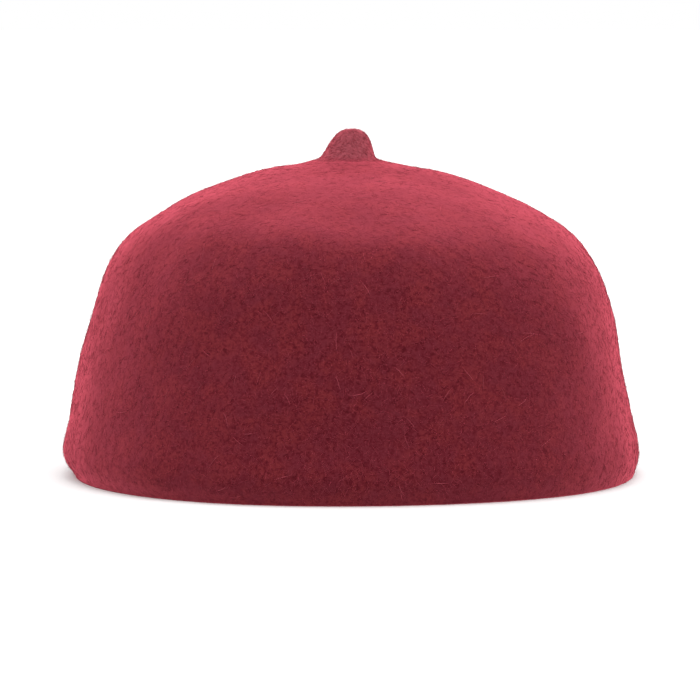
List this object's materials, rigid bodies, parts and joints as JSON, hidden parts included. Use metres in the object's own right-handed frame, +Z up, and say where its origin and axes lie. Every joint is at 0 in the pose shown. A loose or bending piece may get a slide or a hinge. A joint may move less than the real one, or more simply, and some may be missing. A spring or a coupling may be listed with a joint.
{
  "type": "felt fez hat",
  "caption": "Low brimless felt fez, blocked in one piece with a tapering wall, soft shoulders, a domed crown and a small solid felt nub on top.",
  "frame": {"origin": "on the surface the hat rests on, under the middle of the hat's bounding box", "axes": "+Z up through the crown, +Y to the back of the head along the hat's longer way, +X to the wearer's left"},
  "size_m": [0.1876, 0.194, 0.1121],
  "materials": {
    "wool_felt": "matte thick wool felt, dark red, lightly napped"
  },
  "bodies": {
    "root": {"felt_cap": "wool_felt"}
  },
  "joints": []
}
